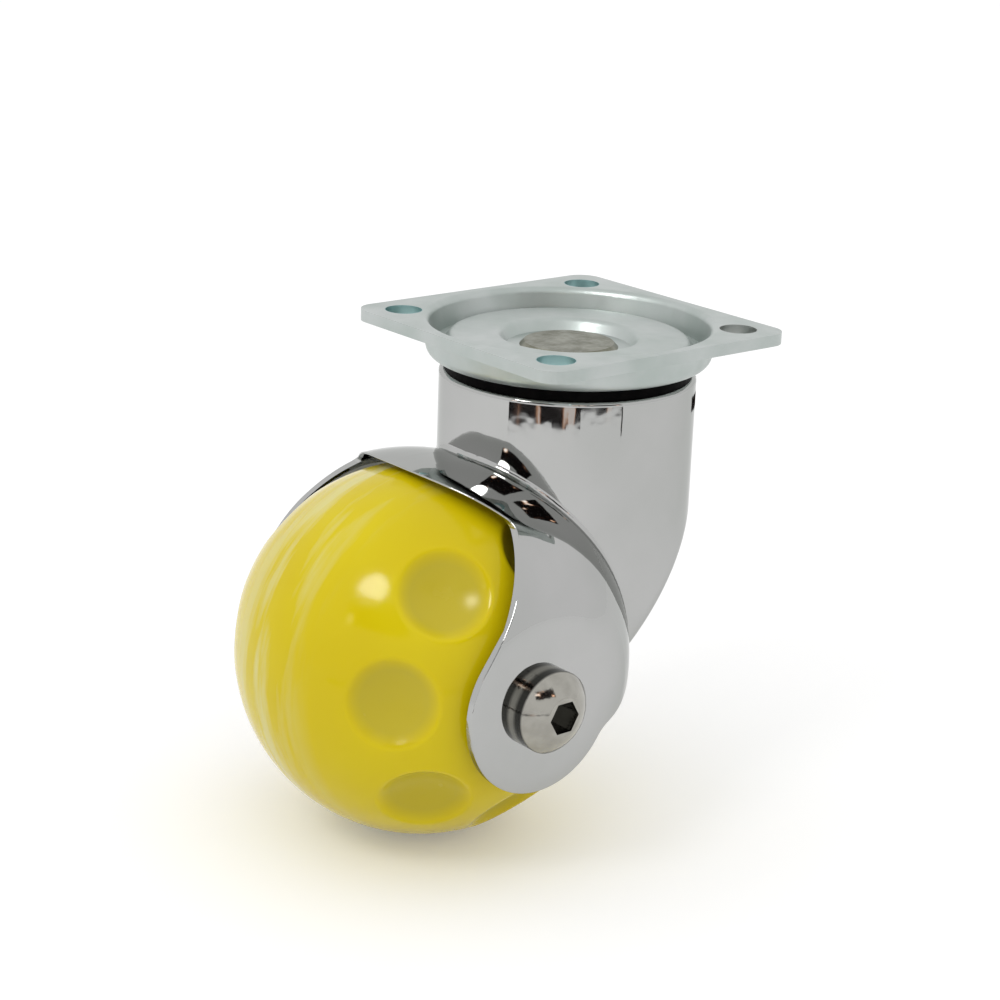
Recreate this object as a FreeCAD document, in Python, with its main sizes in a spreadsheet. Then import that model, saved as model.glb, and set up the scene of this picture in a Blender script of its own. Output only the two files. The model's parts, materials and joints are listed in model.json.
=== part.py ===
"""Ball caster: a pressed square plate, a chromed cast housing that swivels under it, and a dimpled ball.

Millimetres. The origin is the centre of the plate's top face, on the swivel axis, with +Z up. The ball trails
towards -X and its axle lies along Y, so the right arm is the one towards -Y.
"""
import FreeCAD, Part
import math
import os
import re
import Sketcher

V = FreeCAD.Vector
doc = FreeCAD.newDocument("ball_caster")

SIZES = [
    ("plate_thick", 1.6, "top plate: sheet thickness"),
    ("plate_margin", 1.8, "top plate: flat between the round pressing and the middle of a side"),
    ("plate_corner", 3.0, "top plate: corner radius"),
    ("bolt_margin", 0.9274, "top plate: flat between the round pressing and a bolt hole"),
    ("bolt_hole", 5.0, "top plate: bolt hole diameter"),
    ("groove_depth", 3.6, "top plate: depth of the ring groove"),
    ("groove_width", 1.2, "top plate: width of the groove's floor"),
    ("groove_run", 0.8, "top plate: lean of the groove's outer wall"),
    ("plateau_depth", 2.1, "top plate: depth of the plateau inside the groove"),
    ("plateau_run", 1.1, "top plate: lean of the walls of the plateau"),
    ("recess_depth", 3.6, "top plate: depth of the centre recess"),
    ("skirt_wall", 0.7, "top plate: wall of the drawn skirt"),
    ("channel_wall", 1.2, "top plate: wall beside the ball channel, measured level"),
    ("channel_clearance", 0.1, "top plate: ball channel wider than the balls, on each side"),
    ("press_round", 1.0, "top plate: rounding of the pressing's upper edges"),
    ("skirt_round", 1.6, "top plate: rounding of the skirt's lower edge"),
    ("pin_radius", 4.0, "kingpin: shank"),
    ("pin_spigot", 3.0, "kingpin: end that passes through the plate"),
    ("pin_head_radius", 9.6, "kingpin: head that carries the lower balls"),
    ("pin_head_thick", 2.5, "kingpin: head"),
    ("peen_gap", 1.7, "kingpin: peened end to the foot of the recess's wall"),
    ("peen_height", 0.6, "kingpin: peened end"),
    ("pin_clearance", 0.05, "running clearance of the kingpin in the race insert"),
    ("upper_ball", 4.0, "upper swivel balls: diameter"),
    ("upper_count", 16, "upper swivel balls: how many"),
    ("lower_ball", 3.0, "lower swivel balls: diameter"),
    ("lower_pitch", 7.2, "lower swivel balls: pitch radius"),
    ("lower_count", 12, "lower swivel balls: how many"),
    ("race_bite", 0.55, "how deep a swivel ball sits in a turned raceway"),
    ("ball_clearance", 0.05, "clearance round every bearing ball"),
    ("race_shoulder", 0.8, "race insert: flange outside the upper balls"),
    ("insert_sink", 0.4, "race insert: its top below the neck's"),
    ("insert_flange", 2.0, "race insert: flange thickness"),
    ("insert_spigot", 11.0, "race insert: spigot radius"),
    ("insert_depth", 2.0, "race insert: spigot length"),
    ("seat_clearance", 0.02, "clearance of pieces that are seated in one another"),
    ("seal_gap", 0.15, "dust seal: gap under the plate's skirt"),
    ("seal_inset", 0.6, "dust seal: outside, in from the neck's"),
    ("seal_lap", 0.5, "dust seal: inside, in from the insert's seat"),
    ("neck_radius", 17.5, "housing: neck"),
    ("neck_wall", 1.9, "housing: wall of the neck round the race insert"),
    ("neck_lip", 0.7, "housing: rounding of the neck's upper edge"),
    ("floor_clearance", 0.5, "housing: room under the kingpin's head"),
    ("slant_depth", 8.0, "housing: slanted face below the top of the hood's round, square to it"),
    ("slant_angle", 40.6, "housing: slanted face, degrees from the vertical"),
    ("slant_round", 3.8, "housing: rounding of the slanted face's edge"),
    ("floor_wall", 3.961, "housing: metal between the kingpin's well and the ball's cavity"),
    ("trail", 23.8, "axle centre behind the swivel axis"),
    ("hood_gap", 0.4, "housing: gap between ball and hood"),
    ("hood_wall", 0.8, "housing: wall of the hood"),
    ("hood_spread", 2.5, "housing: straight middle of the hood, on each side of its middle plane"),
    ("arm_thick", 1.2, "housing: arm round the axle"),
    ("arm_blend", 10.0, "housing: blend from the hood's sphere to the arm's flat"),
    ("lobe_radius", 11.55, "housing: round end of an arm"),
    ("arm_lean", 54.5, "housing: front edge of an arm, degrees from the level"),
    ("visor_lead", 10.1, "housing: tip of the visor ahead of straight above the axle, degrees"),
    ("visor_pitch", 24.0, "housing: fall of the visor's edge at its tip, degrees"),
    ("visor_radius", 17.4, "housing: sweep of the visor's edge, seen from the side"),
    ("rear_drop", 9.3, "housing: line of the rear edge below the axle"),
    ("rear_rise", 21.0, "housing: line of the rear edge, degrees from the level"),
    ("corner_round", 1.0, "housing: corner between visor and arm"),
    ("crotch_round", 4.0, "housing: corner between arm and rear edge"),
    ("rim_round", 0.15, "housing: rounding of the outer rim"),
    ("neck_blend", 0.7, "housing: fillet between neck and hood"),
    ("ball_radius", 25.0, "ball: radius of the tread"),
    ("flat_cut", 1.5, "ball: height cut off it by each flat"),
    ("side_gap", 0.9, "ball: gap between its flat and the arm"),
    ("hub_bore", 6.0, "ball: bore round the bearing spacer"),
    ("dimple_count", 7, "ball: dimples on each side"),
    ("dimple_radius", 5.8, "ball: dimple at the surface"),
    ("dimple_draft", 0.6, "ball: dimple narrower at its floor, on each side"),
    ("dimple_depth", 2.6, "ball: dimple depth"),
    ("dimple_polar", 45.8, "ball: dimple from the axle, degrees"),
    ("dimple_round", 1.5, "ball: rounding at a dimple's floor"),
    ("dimple_lip", 0.5, "ball: rounding at a dimple's mouth"),
    ("dimple_phase", 175.0, "ball: first dimple from +X about the axle, degrees"),
    ("axle_radius", 4.0, "axle tube: outside, the bearings' bore"),
    ("thread_radius", 3.0, "axle screws: M6 shank"),
    ("tap_radius", 2.5, "axle tube: bore between the two threads"),
    ("thread_depth", 12.0, "axle tube: thread at each end"),
    ("screw_length", 12.0, "axle screws: under the head"),
    ("screw_head", 5.45, "axle screws: head radius"),
    ("screw_rise", 4.0, "axle screws: head height"),
    ("screw_rim", 1.8, "axle screws: straight rim under the dome"),
    ("screw_top", 2.6, "axle screws: flat round the socket"),
    ("socket_flats", 4.0, "axle screws: hexagon socket across flats"),
    ("socket_depth", 2.2, "axle screws: hexagon socket"),
    ("hole_clearance", 0.15, "clearance of the screws in the arms"),
    ("bearing_radius", 8.0, "wheel bearings: outside"),
    ("bearing_width", 5.0, "wheel bearings: width"),
    ("bearing_recess", 0.4, "wheel bearings: depth below the ball's flat"),
    ("ring_thick", 1.2, "wheel bearings: inner and outer ring"),
    ("bearing_ball", 2.4, "wheel bearings: ball diameter"),
    ("bearing_count", 8, "wheel bearings: balls in each"),
    ("cage_thick", 0.5, "wheel bearings: cage, radially"),
    ("cage_width", 3.4, "wheel bearings: cage, along the axle"),
    ("shield_thick", 0.3, "wheel bearings: shields"),
    ("shield_inset", 0.1, "wheel bearings: shields below the ring's face"),
    ("shield_gap", 0.15, "wheel bearings: shield to inner ring"),
]
ALIASES = {alias for alias, value, meaning in SIZES}
sheet = doc.addObject("Spreadsheet::Sheet", "Sizes")
for row, (alias, value, meaning) in enumerate(SIZES, start=1):
    sheet.set(f"A{row}", str(value))
    sheet.setAlias(f"A{row}", alias)
    sheet.set(f"B{row}", meaning)
doc.recompute()


# Expressions, sketches and features that more than one piece uses

def sized(text):
    """The expression with each alias pointed at the sheet."""
    return re.sub(r"[a-z]\w*", lambda m: f"Sizes.{m[0]}" if m[0] in ALIASES else m[0], text)


def number(text):
    """What an expression comes to now."""
    return float(sheet.evalExpression(sized(text)))


def new_body(label):
    body = doc.addObject("PartDesign::Body", label)
    body.Label = label
    return body


def origin_feature(body, role):
    return next(feature for feature in body.Origin.OriginFeatures if feature.Role == role)


def new_sketch(body, name, role, offset=()):
    """A sketch on one of the body's origin planes, moved by (axis, expression) pairs."""
    sketch = body.newObject("Sketcher::SketchObject", name)
    sketch.AttachmentSupport = [(origin_feature(body, role), "")]
    sketch.MapMode = "FlatFace"
    for axis, expression in offset:
        sketch.setExpression(f"AttachmentOffset.Base.{axis}", sized(expression))
    return sketch


def pin_point(sketch, geometry, end, across, along):
    """Ties a point to its two expressions. One that starts with ~ is left to the curves that meet there."""
    for kind, expression, axis in (("DistanceX", across, -2), ("DistanceY", along, -1)):
        if expression == "0":
            sketch.addConstraint(Sketcher.Constraint("PointOnObject", geometry, end, axis))
        elif not expression.startswith("~"):
            constraint = Sketcher.Constraint(kind, -1, 1, geometry, end, number(expression))
            index = sketch.addConstraint(constraint)
            sketch.setExpression(f"Constraints[{index}]", sized(expression))


def plain_point(across, along):
    return V(number(across.lstrip("~")), number(along.lstrip("~")), 0)


def outline(body, name, role, corners, arcs=None, offset=()):
    """A closed sketch through corners, each an (across, along) pair of expressions.

    arcs maps a corner's index to the centre of the arc that runs on to the next corner and its sense: 1 goes
    anticlockwise, -1 clockwise.
    """
    arcs = arcs or {}
    sketch = new_sketch(body, name, role, offset)
    points = [plain_point(*corner) for corner in corners]
    ends = []
    for index, start in enumerate(points):
        finish = points[(index + 1) % len(points)]
        if index in arcs:
            centre = plain_point(*arcs[index][0])
            sense = arcs[index][1]
            first, last = (start, finish) if sense > 0 else (finish, start)
            angles = [math.atan2(point.y - centre.y, point.x - centre.x) for point in (first, last)]
            circle = Part.Circle(centre, V(0, 0, 1), (start - centre).Length)
            sketch.addGeometry(Part.ArcOfCircle(circle, *angles), False)
            ends.append((1, 2) if sense > 0 else (2, 1))
        else:
            sketch.addGeometry(Part.LineSegment(start, finish), False)
            ends.append((1, 2))
    for index in range(len(points)):
        following = (index + 1) % len(points)
        meeting = (index, ends[index][1], following, ends[following][0])
        sketch.addConstraint(Sketcher.Constraint("Coincident", *meeting))
    for index, corner in enumerate(corners):
        pin_point(sketch, index, ends[index][0], *corner)
    for index, (centre, sense) in arcs.items():
        if centre == ("0", "0"):
            sketch.addConstraint(Sketcher.Constraint("Coincident", index, 3, -1, 1))
        else:
            pin_point(sketch, index, 3, *centre)
    return sketch


def circle_sketch(body, name, role, radius, centre=("0", "0"), offset=()):
    sketch = new_sketch(body, name, role, offset)
    sketch.addGeometry(Part.Circle(plain_point(*centre), V(0, 0, 1), number(radius)), False)
    if centre == ("0", "0"):
        sketch.addConstraint(Sketcher.Constraint("Coincident", 0, 3, -1, 1))
    else:
        pin_point(sketch, 0, 3, *centre)
    index = sketch.addConstraint(Sketcher.Constraint("Radius", 0, number(radius)))
    sketch.setExpression(f"Constraints[{index}]", sized(radius))
    return sketch


def revolve(body, name, sketch, kind="Revolution", axis="V_Axis"):
    """A full turn of a sketch about one of its own axes, added or, as a Groove, cut away."""
    feature = body.newObject(f"PartDesign::{kind}", name)
    feature.Profile = sketch
    feature.Refine = False
    feature.ReferenceAxis = (sketch, [axis])
    feature.Angle = 360
    return feature


def pocket(body, name, sketch, depth=None, towards=False):
    """A cut from the sketch: to a depth on one side, or right through on both sides."""
    feature = body.newObject("PartDesign::Pocket", name)
    feature.Profile = sketch
    feature.Refine = False
    feature.Reversed = towards
    if depth:
        feature.setExpression("Length", sized(depth))
    else:
        feature.Type = "ThroughAll"
        feature.SideType = "Symmetric"
    return feature


def polar_pattern(body, name, feature, count):
    """Copies of a feature all round the body's Z axis."""
    pattern = body.newObject("PartDesign::PolarPattern", name)
    pattern.Originals = [feature]
    pattern.Axis = (origin_feature(body, "Z_Axis"), [""])
    pattern.Angle = 360
    pattern.setExpression("Occurrences", sized(count))
    body.Tip = pattern
    return pattern


def round_edges(body, name, radius, wanted):
    """A fillet on those edges of the body, as it is so far, for which wanted(edge, faces) is true."""
    doc.recompute()
    base = body.Tip
    shape = base.Shape
    names = []
    for index, edge in enumerate(shape.Edges, start=1):
        if not edge.Degenerated and wanted(edge, shape.ancestorsOfType(edge, Part.Face)):
            names.append(f"Edge{index}")
    if not names:
        raise RuntimeError(f"{name}: no edge to round")
    fillet = body.newObject("PartDesign::Fillet", name)
    fillet.Base = (base, names)
    fillet.setExpression("Radius", sized(radius))
    return fillet


def ring_at(radius, height):
    """Picks the circular edges about Z with this radius, at this height."""
    def wanted(edge, faces):
        curve = edge.Curve
        return (isinstance(curve, Part.Circle) and abs(curve.Radius - number(radius)) < 1e-4
                and abs(curve.Center.z - number(height)) < 1e-4)
    return wanted


def turned(label, corners, arcs=None):
    """A piece turned about Z, from half its section."""
    body = new_body(label)
    revolve(body, f"{label}_turning", outline(body, f"{label}_section", "XZ_Plane", corners, arcs))
    return body


def ball_track(body, name, pitch, height, ball):
    """A raceway turned into a body for balls on a pitch circle."""
    radius = f"({ball} / 2 + ball_clearance)"
    track = circle_sketch(body, f"{name}_section", "XZ_Plane", radius, (pitch, height))
    return revolve(body, name, track, "Groove")


def ball_ring(label, pitch, height, ball, count):
    """A ring of loose balls about Z, as one group."""
    balls = []
    for index in range(round(number(count))):
        angle = f"360deg * {index} / {count}"
        sphere = doc.addObject("Part::Sphere", f"{label}_{index}")
        sphere.setExpression("Radius", sized(f"{ball} / 2"))
        sphere.setExpression("Placement.Base.x", sized(f"{pitch} * cos({angle})"))
        sphere.setExpression("Placement.Base.y", sized(f"{pitch} * sin({angle})"))
        sphere.setExpression("Placement.Base.z", sized(height))
        balls.append(sphere)
    group = doc.addObject("Part::Compound", label)
    group.Label = label
    group.Links = balls
    return group


def on_axle(piece, side, turn=0.0):
    """Lays a piece's own Z along the axle, pointing out of the arm on that side: -1 is right, 1 is left."""
    lie = FreeCAD.Rotation(V(1, 0, 0), -90 * side)
    piece.Placement = FreeCAD.Placement(V(0, 0, 0), lie.multiply(FreeCAD.Rotation(V(0, 0, 1), turn)))
    piece.setExpression("Placement.Base.x", sized("-trail"))
    piece.setExpression("Placement.Base.z", sized(f"-{AXLE_DROP}"))
    return piece


# Heights below the plate's top face, shared by the pieces of the swivel bearing

SKIRT_DEPTH = "(groove_depth + plate_thick)"
PIN_SHOULDER = "(recess_depth + plate_thick)"
SEAL_TOP = f"({SKIRT_DEPTH} + seal_gap)"
UPPER_DEPTH = "(plateau_depth + plate_thick + ball_clearance + upper_ball / 2)"
INSERT_TOP = f"({UPPER_DEPTH} + upper_ball / 2 - race_bite)"
NECK_TOP = f"({INSERT_TOP} - insert_sink)"
INSERT_SEAT = f"({INSERT_TOP} + insert_flange)"
INSERT_END = f"({INSERT_SEAT} + insert_depth)"
LOWER_DEPTH = f"({INSERT_END} + lower_ball / 2 - race_bite)"
PIN_HEAD = f"({LOWER_DEPTH} + lower_ball / 2 - race_bite)"
PIN_END = f"({PIN_HEAD} + pin_head_thick)"
NECK_FLOOR = f"({PIN_END} + floor_clearance)"

# Radii about the swivel axis, from the neck in to the balls of the race and out again to the plate's sides

INSERT_RADIUS = "(neck_radius - neck_wall)"
UPPER_PITCH = f"({INSERT_RADIUS} - race_shoulder - upper_ball / 2)"
PLATEAU_EDGE = f"({UPPER_PITCH} + upper_ball / 2 + channel_clearance + channel_wall)"
GROOVE_IN = f"({PLATEAU_EDGE} + plateau_run)"
GROOVE_OUT = f"({GROOVE_IN} + groove_width)"
DISH_RADIUS = f"({GROOVE_OUT} + groove_run)"
PLATE_HALF = f"({DISH_RADIUS} + plate_margin)"
RECESS_RADIUS = f"({UPPER_PITCH} - upper_ball / 2 - channel_clearance - channel_wall)"
RECESS_FLOOR = f"({RECESS_RADIUS} - plateau_run)"

# Distances from the middle of the ball along the axle, and radii, shared by the pieces of the wheel

HOOD_INSIDE = "(ball_radius + hood_gap)"
HOOD_OUTSIDE = f"({HOOD_INSIDE} + hood_wall)"
AXLE_DROP = f"({NECK_FLOOR} + floor_wall + sqrt({HOOD_INSIDE}^2 - (trail - insert_spigot)^2))"
BALL_FLAT = "(ball_radius - flat_cut)"
ARM_INSIDE = f"({BALL_FLAT} + side_gap)"
ARM_SPAN = f"({ARM_INSIDE} + arm_thick)"
BEARING_OUT = f"({BALL_FLAT} - bearing_recess)"
BEARING_IN = f"({BEARING_OUT} - bearing_width)"
BEARING_MID = f"({BEARING_OUT} - bearing_width / 2)"
INNER_RING = "(axle_radius + ring_thick)"
OUTER_RING = "(bearing_radius - ring_thick)"
BEARING_PITCH = "((axle_radius + bearing_radius) / 2)"
SIDES = (("right", -1), ("left", 1))


# Top plate: a square of steel sheet, pressed in the middle into a ring groove, a plateau and a recess

PRESS_EDGE = f"({DISH_RADIUS} + plate_margin / 2)"
BOLT_PLACE = f"(({DISH_RADIUS} + bolt_margin + bolt_hole / 2) / sqrt(2))"
PIN_HOLE = "(pin_spigot + seat_clearance)"


def make_top_plate():
    body = new_body("top_plate")
    low, high = f"-{PLATE_HALF}", PLATE_HALF
    square = [(low, low), (high, low), (high, high), (low, high)]
    sheet_metal = body.newObject("PartDesign::Pad", "plate_sheet")
    sheet_metal.Profile = outline(body, "plate_outline", "XY_Plane", square)
    sheet_metal.Reversed = True
    sheet_metal.setExpression("Length", sized("plate_thick"))
    pocket(body, "plate_opening", circle_sketch(body, "plate_circle", "XY_Plane", PRESS_EDGE))
    section = [
        (PRESS_EDGE, "0"),
        (DISH_RADIUS, "0"),
        (GROOVE_OUT, "-groove_depth"),
        (GROOVE_IN, "-groove_depth"),
        (PLATEAU_EDGE, "-plateau_depth"),
        (RECESS_RADIUS, "-plateau_depth"),
        (RECESS_FLOOR, "-recess_depth"),
        (PIN_HOLE, "-recess_depth"),
        (PIN_HOLE, f"-{PIN_SHOULDER}"),
        (f"{RECESS_FLOOR} + channel_wall", f"-{PIN_SHOULDER}"),
        (f"{RECESS_RADIUS} + channel_wall", "-(plateau_depth + plate_thick)"),
        (f"{PLATEAU_EDGE} - channel_wall", "-(plateau_depth + plate_thick)"),
        (f"{GROOVE_IN} - channel_wall", f"-{SKIRT_DEPTH}"),
        (f"{GROOVE_OUT} + skirt_wall", f"-{SKIRT_DEPTH}"),
        (f"{DISH_RADIUS} + skirt_wall", "-plate_thick"),
        (PRESS_EDGE, "-plate_thick"),
    ]
    revolve(body, "plate_pressing", outline(body, "pressing_section", "XZ_Plane", section))
    hole = circle_sketch(body, "bolt_circle", "XY_Plane", "bolt_hole / 2", (BOLT_PLACE, BOLT_PLACE))
    polar_pattern(body, "bolt_holes", pocket(body, "bolt_hole_cut", hole), "4")

    def is_corner(edge, faces):
        flat = all(isinstance(face.Surface, Part.Plane) for face in faces)
        return flat and abs(edge.BoundBox.ZLength - number("plate_thick")) < 1e-6

    round_edges(body, "plate_corners", "plate_corner", is_corner)
    rings = [ring_at(DISH_RADIUS, "0"), ring_at(PLATEAU_EDGE, "-plateau_depth"),
             ring_at(RECESS_RADIUS, "-plateau_depth")]

    def is_upper_edge(edge, faces):
        return any(pick(edge, faces) for pick in rings)

    round_edges(body, "pressing_edges", "press_round", is_upper_edge)
    round_edges(body, "skirt_edge", "skirt_round", ring_at(f"{GROOVE_OUT} + skirt_wall", f"-{SKIRT_DEPTH}"))
    return body


# Kingpin: one turned pin, headed below, shouldered under the plate and peened over in its recess

def make_kingpin():
    peen = f"({RECESS_FLOOR} - peen_gap)"
    peen_top = "-(recess_depth - peen_height)"
    body = turned("kingpin", [
        ("0", f"-{PIN_END}"),
        ("pin_head_radius", f"-{PIN_END}"),
        ("pin_head_radius", f"-{PIN_HEAD}"),
        ("pin_radius", f"-{PIN_HEAD}"),
        ("pin_radius", f"-{PIN_SHOULDER}"),
        ("pin_spigot", f"-{PIN_SHOULDER}"),
        ("pin_spigot", "-recess_depth"),
        (peen, "-recess_depth"),
        (f"{peen} - peen_height", peen_top),
        ("0", peen_top),
    ])
    ball_track(body, "pin_track", "lower_pitch", f"-{LOWER_DEPTH}", "lower_ball")
    return body


# Race insert: a turned steel bush pressed into the neck, with a raceway above and one below

def make_race_insert():
    bore = "pin_radius + pin_clearance"
    flange = f"{INSERT_RADIUS} - seat_clearance"
    spigot = "insert_spigot - seat_clearance"
    body = turned("race_insert", [
        (bore, f"-{INSERT_END}"),
        (spigot, f"-{INSERT_END}"),
        (spigot, f"-{INSERT_SEAT}"),
        (flange, f"-{INSERT_SEAT}"),
        (flange, f"-{INSERT_TOP}"),
        (bore, f"-{INSERT_TOP}"),
    ])
    ball_track(body, "upper_track", UPPER_PITCH, f"-{UPPER_DEPTH}", "upper_ball")
    ball_track(body, "lower_track", "lower_pitch", f"-{LOWER_DEPTH}", "lower_ball")
    return body


# Dust seal: a moulded ring that lies on the neck's lip, with a spigot inside the lip

def make_dust_seal():
    bore = f"{INSERT_RADIUS} - seal_lap"
    outside = "neck_radius - seal_inset"
    spigot = f"{INSERT_RADIUS} - seat_clearance"
    spigot_end = f"-({INSERT_TOP} - seat_clearance)"
    return turned("dust_seal", [
        (bore, spigot_end),
        (spigot, spigot_end),
        (spigot, f"-{NECK_TOP}"),
        (outside, f"-{NECK_TOP}"),
        (outside, f"-{SEAL_TOP}"),
        (bore, f"-{SEAL_TOP}"),
    ])


# Fork housing: one casting, a round neck with a slanted back, a hood round the ball and two arms

BLEND_PLACE = f"({ARM_SPAN} - arm_blend)"
ARM_FLAT = f"sqrt(({HOOD_OUTSIDE} - arm_blend)^2 - ({BLEND_PLACE} - hood_spread)^2)"
BLEND_SHARE = f"{HOOD_OUTSIDE} / ({HOOD_OUTSIDE} - arm_blend)"
CAVITY_FLAT = f"sqrt({HOOD_INSIDE}^2 - ({ARM_INSIDE} - hood_spread)^2)"
AT_AXLE = (("x", "-trail"), ("z", f"-{AXLE_DROP}"))
SIDE_ON = (("x", "-trail"), ("y", f"-{AXLE_DROP}"))


def make_fork_housing():
    body = new_body("fork_housing")
    reach = f"(trail + neck_radius + {HOOD_OUTSIDE})"

    neck = body.newObject("PartDesign::Pad", "neck_pad")
    at_top = [("z", f"-{NECK_TOP}")]
    neck.Profile = circle_sketch(body, "neck_circle", "XY_Plane", "neck_radius", offset=at_top)
    neck.Reversed = True
    neck.setExpression("Length", sized(f"{AXLE_DROP} + rear_drop - {NECK_TOP}"))

    slant = "(slant_angle * 1deg)"
    at_level = f"({HOOD_OUTSIDE} - slant_depth) / cos({slant})"
    pocket(body, "slant_cut", outline(body, "slant_side", "XZ_Plane", [
        (f"{at_level} + {reach} * tan({slant})", reach),
        (f"{at_level} - {reach} * tan({slant})", f"-{reach}"),
        (f"{at_level} + {reach} * tan({slant})", f"-{reach}"),
    ], offset=SIDE_ON))
    round_edges(body, "slant_edge", "slant_round", lambda edge, faces: isinstance(edge.Curve, Part.Ellipse))

    blend_across = f"{ARM_FLAT} * {BLEND_SHARE}"
    blend_along = f"(hood_spread + ({BLEND_PLACE} - hood_spread) * {BLEND_SHARE})"
    hood = outline(body, "hood_section", "XY_Plane", [
        ("0", ARM_SPAN),
        (f"-{ARM_FLAT}", ARM_SPAN),
        (f"~-{blend_across}", blend_along),
        (f"~-{HOOD_OUTSIDE}", "hood_spread"),
        (f"-{HOOD_OUTSIDE}", "-hood_spread"),
        (f"~-{blend_across}", f"-{blend_along}"),
        (f"-{ARM_FLAT}", f"~-{ARM_SPAN}"),
        ("0", f"-{ARM_SPAN}"),
    ], {
        1: ((f"-{ARM_FLAT}", BLEND_PLACE), 1),
        2: (("0", "hood_spread"), 1),
        4: (("0", "-hood_spread"), 1),
        5: ((f"-{ARM_FLAT}", f"-{BLEND_PLACE}"), 1),
    }, AT_AXLE)
    revolve(body, "hood_blank", hood)

    cavity = outline(body, "cavity_section", "XY_Plane", [
        ("0", ARM_INSIDE),
        (f"-{CAVITY_FLAT}", ARM_INSIDE),
        (f"~-{HOOD_INSIDE}", "hood_spread"),
        (f"-{HOOD_INSIDE}", "-hood_spread"),
        (f"~-{CAVITY_FLAT}", f"-{ARM_INSIDE}"),
        ("0", f"-{ARM_INSIDE}"),
    ], {1: (("0", "hood_spread"), 1), 3: (("0", "-hood_spread"), 1)}, AT_AXLE)
    revolve(body, "ball_cavity", cavity, "Groove")

    lean = "(arm_lean * 1deg)"
    rise = "(rear_rise * 1deg)"
    tip = "(visor_lead * 1deg)"
    fall = "(visor_pitch * 1deg)"
    ahead = f"({HOOD_OUTSIDE} * sin({tip}) + visor_radius * sin({fall}))"
    above = f"({HOOD_OUTSIDE} * cos({tip}) - visor_radius * cos({fall}))"
    apart = f"({ahead} * sin({lean}) + {above} * cos({lean}) - lobe_radius - corner_round)"
    chord = f"sqrt((visor_radius - corner_round)^2 - {apart}^2)"
    bend_across = f"({apart} * sin({lean}) + {chord} * cos({lean}) - {ahead})"
    bend_along = f"({above} - {apart} * cos({lean}) + {chord} * sin({lean}))"
    share = "visor_radius / (visor_radius - corner_round)"
    rear_foot = f"(rear_drop * cos({rise}))"
    rear_chord = f"sqrt(lobe_radius^2 - {rear_foot}^2)"
    crotch = (f"{rear_foot} * sin({rise}) + {rear_chord} * cos({rise})",
              f"{rear_chord} * sin({rise}) - {rear_foot} * cos({rise})")
    pocket(body, "side_cut", outline(body, "side_outline", "XZ_Plane", [
        (f"-{reach}", f"{above} + visor_radius"),
        (f"-{reach}", f"-{reach}"),
        (reach, f"-{reach}"),
        (reach, f"{reach} * tan({rise}) - rear_drop"),
        crotch,
        (f"-lobe_radius * sin({lean})", f"~lobe_radius * cos({lean})"),
        (f"{bend_across} + corner_round * sin({lean})", f"{bend_along} - corner_round * cos({lean})"),
        (f"({bend_across} + {ahead}) * {share} - {ahead}", f"~({bend_along} - {above}) * {share} + {above}"),
        (f"-{ahead}", f"~{above} + visor_radius"),
    ], {
        4: (("0", "0"), -1),
        6: ((bend_across, bend_along), 1),
        7: ((f"-{ahead}", above), 1),
    }, SIDE_ON))

    seat = circle_sketch(body, "insert_circle", "XY_Plane", INSERT_RADIUS, offset=at_top)
    pocket(body, "insert_bore", seat, f"{INSERT_SEAT} - {NECK_TOP}")
    well = circle_sketch(body, "well_circle", "XY_Plane", "insert_spigot", offset=[("z", f"-{INSERT_SEAT}")])
    pocket(body, "pin_well", well, f"{NECK_FLOOR} - {INSERT_SEAT}")
    hole = circle_sketch(body, "axle_circle", "XZ_Plane", "thread_radius + hole_clearance", offset=SIDE_ON)
    pocket(body, "axle_holes", hole)

    def is_crotch(edge, faces):
        """The edges along Y at the corner between an arm and the rear edge."""
        box = edge.BoundBox
        x = number(f"{crotch[0]} - trail")
        z = number(f"{crotch[1]} - {AXLE_DROP}")
        return box.XLength + box.ZLength < 1e-3 and math.hypot(box.XMin - x, box.ZMin - z) < 1e-3

    round_edges(body, "crotch_corners", "crotch_round", is_crotch)
    round_edges(body, "neck_edge", "neck_lip", ring_at("neck_radius", f"-{NECK_TOP}"))

    def is_tube(face, radius):
        return isinstance(face.Surface, Part.Cylinder) and abs(face.Surface.Radius - number(radius)) < 1e-4

    def is_rim(edge, faces):
        """The round end of an arm, on its outer side: the fillet runs on from there along the whole rim."""
        outer = any(isinstance(face.Surface, Part.SurfaceOfRevolution) for face in faces)
        return outer and any(is_tube(face, "lobe_radius") for face in faces)

    def is_foot(edge, faces):
        """Where the neck stands on the hood."""
        spheres = any(isinstance(face.Surface, Part.Sphere) for face in faces)
        hood_side = spheres or any(is_tube(face, HOOD_OUTSIDE) for face in faces)
        return hood_side and any(is_tube(face, "neck_radius") for face in faces)

    round_edges(body, "neck_foot", "neck_blend", is_foot)
    round_edges(body, "outer_rim", "rim_round", is_rim)
    return body


# Ball: one moulding with a bore, two bearing seats, two flats and a ring of dimples on each side

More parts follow.
